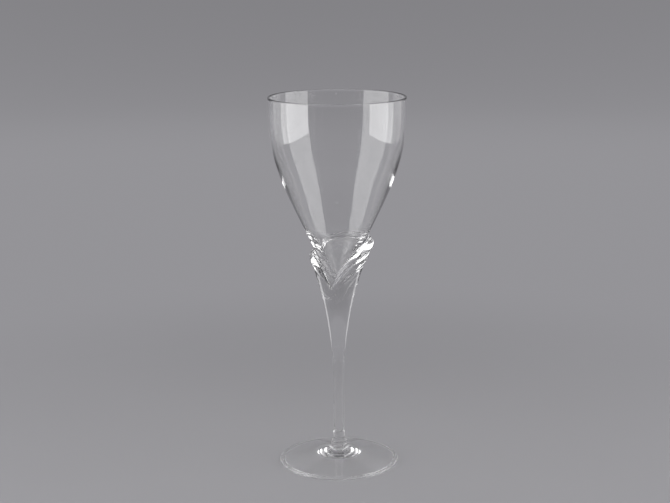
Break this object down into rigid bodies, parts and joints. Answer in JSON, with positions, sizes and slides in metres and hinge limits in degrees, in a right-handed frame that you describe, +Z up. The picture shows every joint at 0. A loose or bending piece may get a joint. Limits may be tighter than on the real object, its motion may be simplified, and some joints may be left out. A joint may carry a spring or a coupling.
{
  "type": "white wine glass",
  "caption": "Clear crystal stemmed glass for white wine, with a conical bowl held in a collar of wrapped leaves on a slim drawn stem and a round foot.",
  "frame": {"origin": "on the table under the centre of the foot", "axes": "+Z up along the stem, +X to the right of the pictured side, -Y towards the viewer of the pictured side"},
  "size_m": [0.08, 0.08, 0.22],
  "materials": {
    "crystal": "clear fire-polished crystal"
  },
  "bodies": {
    "root": {"foot": "crystal", "merese": "crystal", "stem": "crystal", "trumpet": "crystal", "bowl": "crystal", "tall_leaf": "crystal", "low_leaf": "crystal"}
  },
  "joints": []
}
